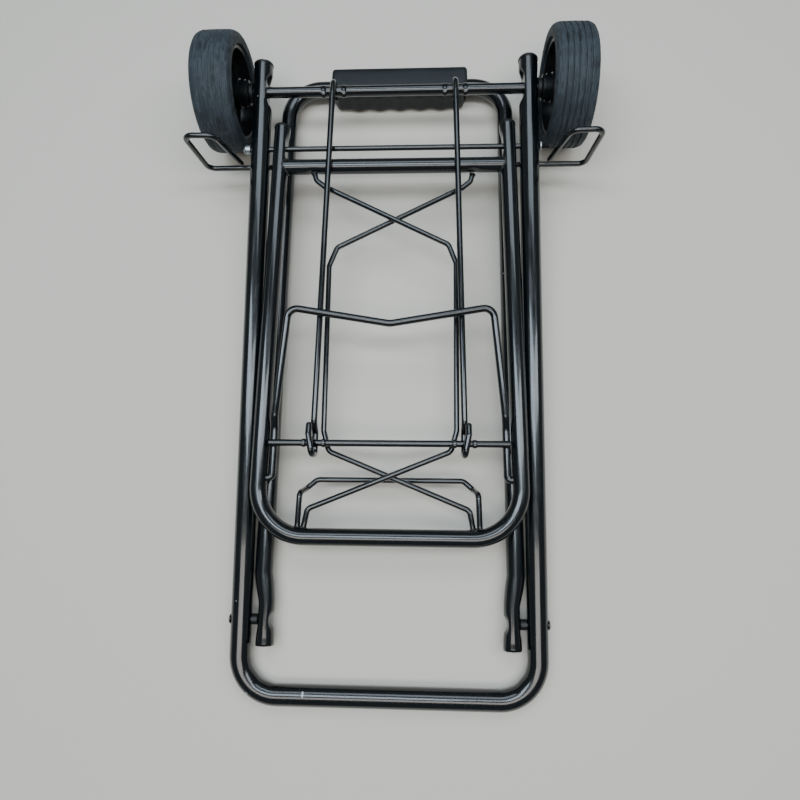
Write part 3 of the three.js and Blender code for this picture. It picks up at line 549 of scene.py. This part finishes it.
def make_main_frame():
    leg_x = MAIN_WIDTH / 2
    centre = Vector((leg_x - MAIN_BEND, MAIN_BEND))

    def shape(p):
        x = squeeze(p.x, p.y, leg_x, 9, leg_x - 9 + PRESS_IN, leg_x + 9 - PRESS_OUT, AXLE_AT, 6, 19)
        # shallow crush waves inside the two bends
        spoke = Vector((abs(x), p.y)) - centre
        if spoke.x > 0 and spoke.y < 0 and 20 < spoke.length < MAIN_BEND:
            turn = math.atan2(-spoke.y, spoke.x)
            deep = (MAIN_BEND - spoke.length) / 9 * math.sin(2 * turn)
            spoke *= 1 - 0.008 * deep * math.sin(turn * 11)
            return Vector((math.copysign(centre.x + spoke.x, x), centre.y + spoke.y, p.z))
        return Vector((x, p.y, p.z))

    corners = both_sides([(-leg_x, LEG_END, 0), (-leg_x, 0, 0, MAIN_BEND)])
    mesh = tube(main_plane, bent(corners, 3, 3.0), MAIN_TUBE, sides=36, open_ends=True, shape=shape)
    piece("main_tube", "main", mesh, ("main_frame",))
    for side, sign in SIDES:
        askew = Matrix.Rotation(math.radians(4 * sign), 4, "Y") @ Matrix.Rotation(math.radians(2.5), 4, "X")
        top = main_plane @ Matrix.Translation((sign * leg_x, LEG_END, 0)) @ Matrix.Rotation(math.pi / 2, 4, "Z")
        profile = [(-4, 0), (-4, 7.4), (0.1, 7.4), (0.1, 9.1), (0.6, 9.4), (1.9, 9.35), (2.7, 8.8), (3.1, 7.6)]
        profile += [(3.25, 4), (3.3, 0)]
        mesh = turned(profile, top @ askew, PLUG_PLASTIC, 40)
        piece(f"leg_plug_{side}", "main", mesh, (f"main_plug_{side}",))


def make_guard_wire():
    back = -MAIN_TUBE / 2 - GUARD_WIRE / 2 - WELD_GAP
    corners = [
        (-GUARD_FOOT_X, GUARD_AT, -4),
        (-GUARD_OUTER_X + 27.5, GUARD_AT, GUARD_RISE - 1, 9),
        (-GUARD_OUTER_X, GUARD_AT, GUARD_RISE, 8),
        (-GUARD_OUTER_X + 2.5, GUARD_AT, back, 8),
    ]
    mesh = tube(main_plane, bent(both_sides(corners), 7, 8.0), GUARD_WIRE, sides=18)
    piece("wheel_guard_wire", "main", mesh, ("guard_wire",))


def make_axle():
    ends = [sign * STRUT_AXLE_X + edge * 9.75 for sign in (-1, 1) for edge in (-1, 1)]
    reach = 182
    stations = [-reach, -reach + 0.6] + [x for x in range(-180, 181, 4)] + [reach - 0.6, reach]
    stations += [x + d * 0.7 for x in ends for d in range(-5, 6)]
    profile = [(x, AXLE / 2) for x in sorted(set(stations))]
    profile[0], profile[-1] = (-reach, AXLE / 2 - 0.6), (reach, AXLE / 2 - 0.6)
    profile = [(-reach, 0)] + profile + [(reach, 0)]
    place = main_plane @ Matrix.Translation((0, AXLE_AT, 0))
    mesh = turned(profile, place, ENAMEL, 32, shape=crimped(ends))
    piece("wheel_axle", "main", mesh, ("axle",))
    washer = [(135.7, 5.3), (135.7, 8.6), (136.1, 9), (138.9, 9), (139.3, 8.6), (139.3, 5.3), (135.7, 5.3)]
    cap = [(183, 0), (183, 5.2), (180.3, 5.2), (180.3, 7.6), (180.7, 8), (182.2, 8)]
    cap += [(183.3, 7.3), (184.2, 5), (184.3, 3), (184.3, 0)]
    for side, sign in SIDES:
        mesh = turned(washer, place, PLUG_PLASTIC, 40, sign)
        piece(f"hub_washer_{side}", "main", mesh, (f"axle_washer_{side}",))
        mesh = turned(cap, place, ZINC, 36, sign)
        piece(f"push_cap_{side}", "main", mesh, (f"axle_cap_{side}",))


def make_hinge_rod():
    place = main_plane @ Matrix.Translation((0, HINGE_AT, 0))
    radius, end = HINGE_ROD / 2, 146.3
    thread = [(x, radius - 0.35 * (k % 2)) for k, x in enumerate([128 + 0.4 * i for i in range(45)])]
    profile = [(-140, 0), (-140, radius)] + thread + [(end - 0.4, radius), (end, radius - 0.6), (end, 0)]
    piece("platform_hinge_rod", "main", turned(profile, place, ENAMEL, 28), ("hinge_rod",))
    dome = [(142, 0), (142, 2.8), (136.9, 2.8), (136.9, 4.3), (137.3, 4.4), (141, 4.4)]
    for k in range(1, 8):
        a = math.pi / 2 * k / 8
        dome.append((144.1 - 3.1 * (1 - math.sin(a)), 4.4 * math.cos(a)))
    dome.append((144.1, 0))
    piece("hinge_rod_cap", "main", turned(dome, place, ZINC, 32, -1), ("hinge_cap_left",))
    nut = [(136.8, 2.8), (136.8, 4.6), (137.1, 5), (138.1, 5), (138.4, 4.6), (138.4, 2.8), (136.8, 2.8)]
    piece("hinge_rod_ring", "main", turned(nut, place, ZINC, 32), ("hinge_nut_right",))


def make_handle_pivots():
    place = main_plane @ Matrix.Translation((0, RIVET_AT, 0))
    inner = [(108.2, 0), (108.2, 2.2), (108.6, 3.1), (109.3, 3.6), (109.7, 3.6), (109.7, 2.5)]
    outer = [(136.8, 2.5), (136.8, 4.1), (137.1, 4.15), (137.9, 3.4), (138.3, 2), (138.4, 0)]
    spacer = [(112.8, 2.8), (112.8, 4.2), (113.1, 4.5), (117.9, 4.5), (118.2, 4.2), (118.2, 2.8), (112.8, 2.8)]
    for side, sign in SIDES:
        mesh = turned(inner + outer, place, ENAMEL, 32, sign)
        piece(f"pivot_rivet_{side}", "main", mesh, (f"handle_rivet_{side}",))
        mesh = turned(spacer, place, PLUG_PLASTIC, 32, sign)
        piece(f"pivot_spacer_{side}", "main", mesh, (f"handle_spacer_{side}",))


# ---------- wheels ----------


def make_wheels():
    half, rim = TYRE_WIDTH / 2, RIM_RADIUS
    edge = [(-half + 2.5, rim + 0.3), (-half + 0.7, rim + 1), (-half, rim + 3), (-half, TYRE_RADIUS - 6.5)]
    edge += [(-half + 0.5, TYRE_RADIUS - 4.2), (-half + 2, TYRE_RADIUS - 2), (-half + 4.6, TYRE_RADIUS - 0.7)]

    def tyre(groove):
        tread = []
        for k in range(TREAD_GROOVES):
            middle = (k - 2) * TREAD_PITCH
            crown = TYRE_RADIUS - 0.0016 * middle * middle
            tread += [(middle - 0.8, crown), (middle - 0.45, crown - groove), (middle + 0.45, crown - groove)]
            tread += [(middle + 0.8, crown)]
        profile = edge + [(-half + 7.2, TYRE_RADIUS - 0.1)] + tread + [(half - 7.2, TYRE_RADIUS - 0.1)]
        profile += [(-x, r) for x, r in reversed(edge)]
        return profile + profile[:1]

    start, stop, middle, web, inside = HUB_INNER_END, HUB_OUTER_END, TYRE_MIDDLE, TYRE_MIDDLE + 1, rim - 3
    boss = [(start, HUB_BORE), (start, 10.6), (start + 0.6, 11.2), (start + 3.4, 11.2), (start + 3.8, 12)]
    boss += [(start + 8.5, 12), (start + 9, 13.2), (web - 3.6, 13.8), (web - 2.2, 15.5)]
    dish = [(web - 2, 18), (web - 2, 22), (web - 3.4, 22.5), (web - 3.4, 24.2), (web - 2, 24.7)]
    dish += [(web - 2, 34), (web - 3.2, 36.8), (web - 6, inside), (middle - 15.4, inside)]
    dish += [(middle - 16, inside + 0.6), (middle - 16, rim - 0.4), (middle - 15.6, rim)]
    back = [(middle + 15.6, rim), (middle + 16, rim - 0.4), (middle + 16, inside + 0.6)]
    back += [(middle + 15.4, inside), (web + 6, inside), (web + 3.2, 36.8), (web + 2, 34), (web + 2, 24.7)]
    back += [(web + 3.4, 24.2), (web + 3.4, 22.5), (web + 2, 22), (web + 2, 18), (web + 2.4, 14.5)]
    back += [(web + 4, 12.4), (stop - 0.6, 11), (stop, 10.4), (stop, HUB_BORE), (start, HUB_BORE)]
    for side, sign in SIDES:
        body = f"{side}_wheel"
        place = wheel_plane @ Matrix.Translation((sign * TYRE_MIDDLE, 0, 0))
        mesh = turned(tyre(TREAD_DEPTH[side]), place, RUBBER, 144)
        piece(f"rubber_tyre_{side}", body, mesh, (f"tyre_{side}",), 28)
        mesh = turned(boss + dish + back, wheel_plane, HUB_PLASTIC, 96, sign)
        piece(f"wheel_centre_{side}", body, mesh, (f"wheel_hub_{side}",), 28)


# ---------- handle ----------


def make_handle():
    """The handle's legs bend in a little before the rivets, which have pressed them in from both sides."""

    def shape(p):
        # the leg narrows towards the rivet, which has pulled a notch into its inner side
        middle = HANDLE_X + (HANDLE_END_X - HANDLE_X) * fade(p.y, 12, 42)
        across = (abs(p.x) - middle) * (1 - 0.12 * fade(p.y - 6, 6, 26))
        if p.y < HANDLE_LEG_END and across < 0:
            across += 2.6 * fade(p.y, 2, 8) * fade(p.z, 3, 8)
        x = math.copysign(middle + across, p.x) if p.y < HANDLE_LEG_END else p.x
        x = squeeze(x, p.y, HANDLE_END_X, 8, 0, HANDLE_FLAT_X, 0, 4.8, 11)
        # the cut ends are spread a little
        flare = 1 + 0.03 * fade(p.y + HANDLE_TAIL, 1, 6)
        return Vector((x, p.y, p.z * flare))

    corners = [(-HANDLE_END_X, -HANDLE_TAIL, 0), (-HANDLE_END_X, 15, 0, 30), (-HANDLE_X, 39, 0, 30)]
    corners = both_sides(corners + [(-HANDLE_X, handle_reach, 0, HANDLE_BEND)])
    mesh = tube(handle_plane, bent(corners, 3, 2.5), HANDLE_TUBE, sides=32, open_ends=True, shape=shape)
    made = piece("handle_tube", "handle", mesh, ("handle_frame",))
    wall = made.modifiers.new("wall", "SOLIDIFY")
    wall.thickness = TUBE_WALL * MM
    wall.offset = -1


def make_grip():
    """A block with rounded edges round the handle's bar, ridged between the fingers on its near side."""
    rings, around = 150, 72
    shell = bmesh.new()
    rows = []
    marks = [(-1 + 2 * k / rings) * GRIP_HALF for k in range(4, rings - 3)]
    close = (0, 0.15, 0.5, 1, 1.7, 2.6)
    marks = [-GRIP_HALF + d for d in close] + marks + [GRIP_HALF - d for d in reversed(close)]
    for x in marks:
        from_end = GRIP_HALF - abs(x)
        inset = GRIP_EDGE * (1 - math.sqrt(1 - (1 - min(from_end / GRIP_EDGE, 1)) ** 2))
        # ridges stand between the fingers, and the outermost hollows run out to the ends
        hollow = 2 * GRIP_HOLLOW
        if abs(x) < 2.5 * GRIP_PITCH:
            hollow = GRIP_HOLLOW * (1 - math.cos(2 * math.pi * x / GRIP_PITCH))
        row = []
        for k in range(around):
            a = 2 * math.pi * k / around
            c, s = math.cos(a), math.sin(a)
            y = math.copysign(abs(c) ** 0.3, c) * (GRIP_DEPTH - inset)
            z = math.copysign(abs(s) ** 0.3, s) * (GRIP_THICK - inset)
            front = max(-y / GRIP_DEPTH, 0)
            y += front**2 * hollow
            # the near side is shorter, and it curves under
            z *= 1 - 0.12 * front**4
            short = 1 - (1 - GRIP_FRONT_HALF / GRIP_HALF) * front
            row.append(shell.verts.new(Vector((x * short, y + handle_reach, z)) + GRIP_SHIFT))
        rows.append(row)
    for low, high in zip(rows, rows[1:]):
        for k in range(around):
            n = (k + 1) % around
            shell.faces.new((low[k], low[n], high[n], high[k]))
    shell.faces.new(rows[0])
    shell.faces.new(rows[-1])
    bmesh.ops.recalc_face_normals(shell, faces=shell.faces)
    mesh = bpy.data.meshes.new("grip")
    shell.to_mesh(mesh)
    shell.free()
    mesh.materials.append(GRIP_PLASTIC)
    piece("finger_grip", "handle", placed_at(mesh, handle_plane), ("handle_grip",), 40)


# ---------- platform ----------


def make_platform():
    def shape(p):
        middle = platform_leg_x(-p.y)
        x = squeeze(p.x, p.y, middle, 7.5, middle - 7.5 + 2.6, middle + 7.5, 0, 5, 17)
        return Vector((x, p.y, p.z))

    leg = [(-platform_leg_x(-PLATFORM_TAIL), PLATFORM_TAIL, 0)]
    leg += [(-platform_leg_x(PLATFORM_LENGTH), -PLATFORM_LENGTH, 0, PLATFORM_BEND)]
    run = bent(both_sides(leg), 3, 3.0)
    mesh = tube(platform_plane, run, PLATFORM_TUBE, sides=32, open_ends=True, shape=shape)
    piece("platform_tube", "platform", mesh, ("platform_frame",))
    for side, sign in SIDES:
        top = platform_plane @ Matrix.Translation((sign * platform_leg_x(-PLATFORM_TAIL), PLATFORM_TAIL, 0))
        splay = sign * math.atan2(PLATFORM_SPLAY, PLATFORM_LENGTH)
        top = top @ Matrix.Rotation(math.pi / 2 + splay, 4, "Z")
        profile = [(-3.5, 0), (-3.5, 5.9), (0.1, 5.9), (0.1, 7.5), (0.5, 7.8), (1.9, 7.75), (2.9, 7.2), (3.4, 6)]
        profile += [(3.55, 3), (3.6, 0)]
        mesh = turned(profile, top, PLUG_PLASTIC, 36)
        piece(f"platform_leg_plug_{side}", "platform", mesh, (f"platform_plug_{side}",))

    middle = platform_leg_x(CROSSBAR_AT)

    def coped(p):
        """The crossbar's ends are cut to sit against the round legs, and it is dented where the wires start."""
        face = middle - math.sqrt(max(7.5**2 - min(abs(p.z), 7.4) ** 2, 0)) + 0.1
        x = math.copysign(min(abs(p.x), face), p.x) if abs(p.x) > middle - 9 else p.x
        y = p.y
        if y < -CROSSBAR_AT:
            y += 0.9 * fade(abs(x) - 74.5, 2, 7) * fade(p.z, 2, 6)
        return Vector((x, y, p.z))

    ends = [(-middle, -CROSSBAR_AT, 0), (middle, -CROSSBAR_AT, 0)]
    mesh = tube(platform_plane, bent(ends, 6, 2.0), CROSSBAR, sides=32, open_ends=True, shape=coped)
    piece("platform_bar", "platform", mesh, ("platform_crossbar",))


def cross_wire_corners(sign, level):
    start, end, side = CROSSBAR_AT + CROSSBAR / 2, PLATFORM_LENGTH - PLATFORM_TUBE / 2, 58.6
    bends = [
        (-74.6, start - 0.4),
        (-72.5, start + 7, 5),
        (-64.5, start + 13.6, 5),
        (side - 7, start + 72, 7),
        (side, start + 90, 9),
        (side, end - 84, 9),
        (side - 5, end - 66, 7),
        (-69.6, end - 16, 6),
        (-72.7, end + 0.3),
    ]
    return [(sign * x, -along, level, *rest) for x, along, *rest in bends]


def make_platform_wires():
    for name, sign, level in (("upper", 1, UPPER_WIRE_LEVEL), ("lower", -1, LOWER_WIRE_LEVEL)):
        run = bent(cross_wire_corners(sign, level), 6, 8.0)
        mesh = tube(platform_plane, run, CROSS_WIRE, sides=18)
        piece(f"bent_wire_{name}", "platform", mesh, (f"cross_wire_{name}",))
    bar = PLATFORM_LENGTH - 49
    corners = [
        (-78, -PLATFORM_LENGTH + PLATFORM_TUBE / 2 + 0.4, 0),
        (-77, -bar - 12, 0, 5),
        (-74, -bar - 8, -15, 5),
        (-65, -bar, -18, 7),
    ]
    mesh = tube(platform_plane, bent(both_sides(corners), 6, 8.0), LIP_WIRE, sides=18)
    piece("load_lip_wire", "platform", mesh, ("lip_wire",))


# ---------- foot and struts ----------


def foot_leg_x(distance):
    return platform_leg_x(distance) - PLATFORM_TUBE / 2 - FOOT_INSET


def make_foot():
    pivot, bar = FOOT_PIVOT_AT, FOOT_PIVOT_AT - FOOT_LENGTH
    level = FOOT_ROD_RISE - FOOT_ROD / 2 - FOOT_WIRE / 2 - WELD_GAP
    corner_x = platform_leg_x(bar) - PLATFORM_TUBE / 2 - FOOT_BAR_INSET
    corners = [
        (-foot_leg_x(pivot) - 9, -pivot, 0),
        (-foot_leg_x(pivot), -pivot, 0, FOOT_WIRE / 2 + 0.3),
        (-foot_leg_x(pivot - 44), -pivot + 44, level, 8),
        (-foot_leg_x(pivot - 54) + 0.8, -pivot + 54, level + 6.5, 8),
        (-corner_x, -bar, FOOT_BAR_RISE, 9),
    ]
    whole = corners + [(0, -bar - FOOT_V, FOOT_BAR_RISE, 14)] + both_sides(corners)[len(corners) :]
    mesh = tube(platform_plane, bent(whole, 6, 8.0), FOOT_WIRE, sides=20)
    piece("foot_wire", "foot", mesh, ("foot_bail",))

    reach = foot_leg_x(FOOT_ROD_AT) + FOOT_WIRE / 2 - 0.5
    ears = [sign * STRUT_ROD_X + edge * 8.6 for sign in (-1, 1) for edge in (-1, 1)]
    stations = [x for x in range(-100, 101, 4)] + [x + d * 0.6 for x in ears for d in range(-5, 6)]
    radius = FOOT_ROD / 2
    profile = [(-reach, 0), (-reach, radius - 0.6), (-reach + 0.5, radius)]
    profile += [(x, radius) for x in sorted(set(stations))]
    profile += [(reach - 0.5, radius), (reach, radius - 0.6), (reach, 0)]
    place = platform_plane @ Matrix.Translation((0, -FOOT_ROD_AT, FOOT_ROD_RISE))
    mesh = turned(profile, place, ENAMEL, 28, shape=crimped(ears, 2.2, 0.24))
    piece("foot_rod", "foot", mesh, ("foot_cross_rod",))


def make_struts():
    """Each strut hooks over the axle and ends in a long closed eye round the foot's rod."""
    rod_y = HINGE_AT - FOOT_ROD_AT * math.cos(PLATFORM_TILT) + FOOT_ROD_RISE * math.sin(PLATFORM_TILT)
    rod_z = FOOT_ROD_AT * math.sin(PLATFORM_TILT) + FOOT_ROD_RISE * math.cos(PLATFORM_TILT)
    length = math.hypot(AXLE_AT - rod_y, rod_z)
    place = main_plane @ Matrix.Translation((0, AXLE_AT, 0))
    place = place @ Matrix.Rotation(-math.atan2(rod_z, AXLE_AT - rod_y), 4, "X")
    radius = STRUT_WIRE / 2
    hook = AXLE / 2 + 0.25 + radius
    top_z, bottom_z = EYE_ABOVE_ROD + radius, -EYE_BELOW_ROD - radius
    far, near = -length - EYE_EACH_WAY - radius, -length + EYE_EACH_WAY + radius
    closed = near + 7.5
    for side, sign in SIDES:
        top, bottom = sign * STRUT_AXLE_X, sign * STRUT_ROD_X
        beside = bottom + sign * STRUT_WIRE * 0.55
        corners = [
            (top, -4.5, -hook),
            (top, hook, -hook, hook - 0.1),
            (top, hook, hook, hook - 0.1),
            (bottom, closed, 1.9, EYE_BEND),
            (bottom, near, bottom_z, EYE_BEND),
            (bottom, far, bottom_z, EYE_BEND),
            (bottom, far, top_z, EYE_BEND),
            (beside, near - 3, top_z, EYE_BEND),
            (beside, closed - 1, 1.9 + STRUT_WIRE + WELD_GAP),
        ]
        mesh = tube(place, bent(corners, 7, 8.0), STRUT_WIRE, sides=20)
        piece(f"strut_wire_{side}", f"{side}_strut", mesh, (f"strut_{side}",))


# ---------- welds ----------


def ring(centre, axis, radius):
    """Points round a circle about an axis, every 20 degrees."""
    axis = Vector(axis).normalized()
    first = axis.orthogonal().normalized() * radius
    turns = [math.radians(20.0 * k) for k in range(19)]
    return [(Vector(centre) + Matrix.Rotation(t, 3, axis) @ first, 1.0) for t in turns]


def weld_beads(seams, plane, bead, step, seed):
    """Weld beads along seams in a plane."""
    return placed_at(grown(path_mesh(seams), WELD_BEAD, bead=bead, step=step, seed=seed, finish=ENAMEL), plane)


def tacks(x, y, z, apart, reach):
    """The two short seams either side of a wire that crosses a tube, on the left and on the right."""
    return [
        [(Vector((sign * (x + d), y + edge * apart, z)), 1.0) for d in (-reach, 0, reach)]
        for sign in (-1, 1)
        for edge in (-1, 1)
    ]


def make_welds():
    middle, seams = platform_leg_x(CROSSBAR_AT), []
    for sign in (-1, 1):
        seam = []
        for k in range(25):
            a = 2 * math.pi * k / 24
            y, z = 6.9 * math.cos(a), 6.9 * math.sin(a)
            x = middle - math.sqrt(7.5**2 - z * z) - 0.3
            seam.append((Vector((sign * x, -CROSSBAR_AT + y, z)), 1.0))
        seams.append(seam)
    fine = []
    for sign, level in ((1, UPPER_WIRE_LEVEL), (-1, LOWER_WIRE_LEVEL)):
        run = cross_wire_corners(sign, level)
        for at, nearer in ((run[0], run[1]), (run[-1], run[-2])):
            along = (Vector(nearer[:3]) - Vector(at[:3])).normalized()
            fine.append(ring(Vector(at[:3]) + along * 0.4, along, 2.5))
    for sign in (-1, 1):
        fine.append(ring((sign * 78, -PLATFORM_LENGTH + PLATFORM_TUBE / 2 + 0.8, 0), (0, 1, 0), 2.5))
    on_bar = weld_beads(seams, platform_plane, bead=1.0, step=1.2, seed=3)
    on_wires = weld_beads(fine, platform_plane, bead=0.75, step=0.9, seed=5)
    piece("platform_welds", "platform", joined([on_bar, on_wires]), crease=60)

    on_rod = tacks(foot_leg_x(FOOT_ROD_AT), -FOOT_ROD_AT, FOOT_ROD_RISE - 2.6, apart=2.4, reach=2.4)
    mesh = weld_beads(on_rod, platform_plane, bead=0.8, step=0.9, seed=7)
    piece("foot_welds", "foot", mesh, crease=60)

    on_legs = tacks(MAIN_WIDTH / 2, GUARD_AT, -9.3, apart=1.9, reach=3.5)
    mesh = weld_beads(on_legs, main_plane, bead=0.8, step=0.9, seed=9)
    piece("guard_welds", "main", mesh, crease=60)


# ---------- floor, light and camera ----------


def make_studio():
    floor_mesh = bpy.data.meshes.new("floor")
    s = 4.0  # half the floor's width, in metres
    floor_mesh.from_pydata([(-s, -s, 0), (s, -s, 0), (s, s, 0), (-s, s, 0)], [], [(0, 1, 2, 3)])
    floor = bpy.data.objects.new("floor", floor_mesh)
    floor_mesh.transform(Matrix.Translation((0, 0, -0.0002)))
    bpy.context.scene.collection.objects.link(floor)
    card = bpy.data.materials.new("pale_studio_card")
    card.use_nodes = True
    shader = card.node_tree.nodes["Principled BSDF"]
    shader.inputs["Base Color"].default_value = colour("#d9d2c6")
    shader.inputs["Roughness"].default_value = 0.75
    floor_mesh.materials.append(card)

    world = bpy.data.worlds.new("studio")
    world.use_nodes = True
    background = world.node_tree.nodes["Background"]
    background.inputs["Color"].default_value = colour("#cfd9e0")
    background.inputs["Strength"].default_value = 0.22
    bpy.context.scene.world = world

    def lamp(name, place, aim, size_x, size_y, power, tint):
        data = bpy.data.lights.new(name, "AREA")
        data.shape = "RECTANGLE"
        data.size, data.size_y, data.energy, data.color = size_x, size_y, power, tint
        made = bpy.data.objects.new(name, data)
        made.location = place
        made.rotation_euler = (Vector(aim) - Vector(place)).to_track_quat("-Z", "Y").to_euler()
        bpy.context.scene.collection.objects.link(made)

    lamp("window_left", (-0.42, 0.1, 1.7), (0, 0, 0), 0.45, 1.3, 17, (0.74, 0.88, 1.0))
    lamp("window_right", (0.75, 0.1, 1.55), (0, 0, 0), 0.3, 1.2, 8, (0.84, 0.93, 1.0))
    lamp("window_far", (0.1, 0.95, 1.6), (0, 0.1, 0), 1.5, 0.55, 10, (0.76, 0.89, 1.0))
    lamp("softbox_near", (0.0, -0.75, 1.7), (0, 0, 0), 1.5, 0.5, 12, (1.0, 0.97, 0.93))

    camera = bpy.data.objects.new("camera", bpy.data.cameras.new("camera"))
    camera.data.lens, camera.data.sensor_width = 27, 36
    camera.data.clip_start, camera.data.clip_end = 0.02, 20
    tilt, yaw, roll = (math.radians(a) for a in (11.593, 2.602, 0.266))
    right = Vector((1, 0, 0))
    up = Vector((0, math.cos(tilt), math.sin(tilt)))
    back = Vector((0, -math.sin(tilt), math.cos(tilt)))
    turned_right = math.cos(yaw) * right - math.sin(yaw) * back
    turned_back = math.sin(yaw) * right + math.cos(yaw) * back
    right = math.cos(roll) * turned_right + math.sin(roll) * up
    up = -math.sin(roll) * turned_right + math.cos(roll) * up
    axes = Matrix((right, up, turned_back)).transposed()
    bar_y = axle.y - AXLE_AT * math.cos(main_tilt)
    camera.matrix_world = Matrix.Translation((0.03294, 0.1452 + bar_y * MM, 0.557)) @ axes.to_4x4()
    bpy.context.scene.collection.objects.link(camera)
    bpy.context.scene.camera = camera


make_studio()
make_main_frame()
make_guard_wire()
make_axle()
make_hinge_rod()
make_handle_pivots()
make_wheels()
make_handle()
make_grip()
make_platform()
make_platform_wires()
make_foot()
make_struts()
make_welds()
